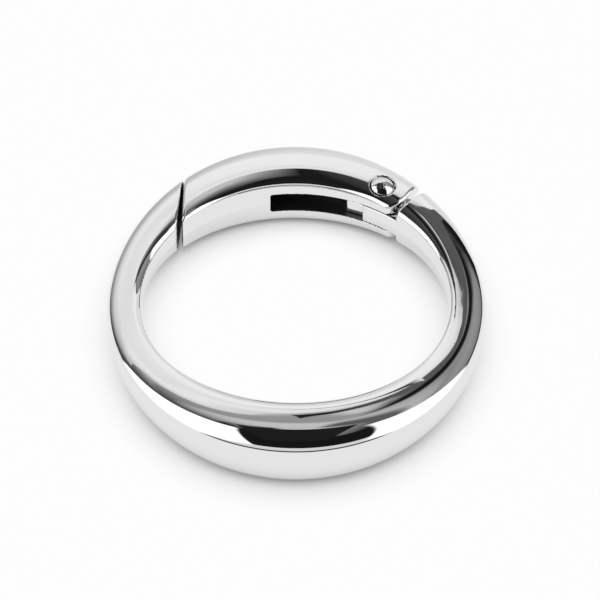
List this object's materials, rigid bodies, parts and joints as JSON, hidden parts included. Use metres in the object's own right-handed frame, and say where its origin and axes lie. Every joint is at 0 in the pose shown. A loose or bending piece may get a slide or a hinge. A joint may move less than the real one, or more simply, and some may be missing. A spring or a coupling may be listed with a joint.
{
  "type": "binder ring",
  "caption": "Plated cast ring with a spring-closed gate that swings inward on a riveted hinge, thick front and back and slim at the sides.",
  "frame": {"origin": "centre of the ring's bounding box, at mid-height on the axis of the opening", "axes": "+Z along the axis of the opening, +Y from the opening towards the middle of the gate, +X to the side of the hinge"},
  "size_m": [0.0466, 0.0544, 0.008],
  "materials": {
    "plated_casting": "mirror-polished nickel-chrome plating on a zinc die casting",
    "plated_rivet": "bright nickel plating on a steel rivet",
    "spring_steel": "blued spring steel strip"
  },
  "bodies": {
    "ring": {"ring_body": "plated_casting"},
    "gate": {"gate": "plated_casting", "hinge_pin": "plated_rivet", "return_spring": "spring_steel"}
  },
  "joints": [
    {"name": "gate_hinge", "type": "hinge", "parent": "ring", "child": "gate", "pos_m": [0.0111, 0.01876, 0], "axis": [0, 0, 1], "range_deg": [0, 30], "stiffness_Nm_per_rad": 0.04, "springref_deg": -20.05, "deforming": ["return_spring"]}
  ]
}
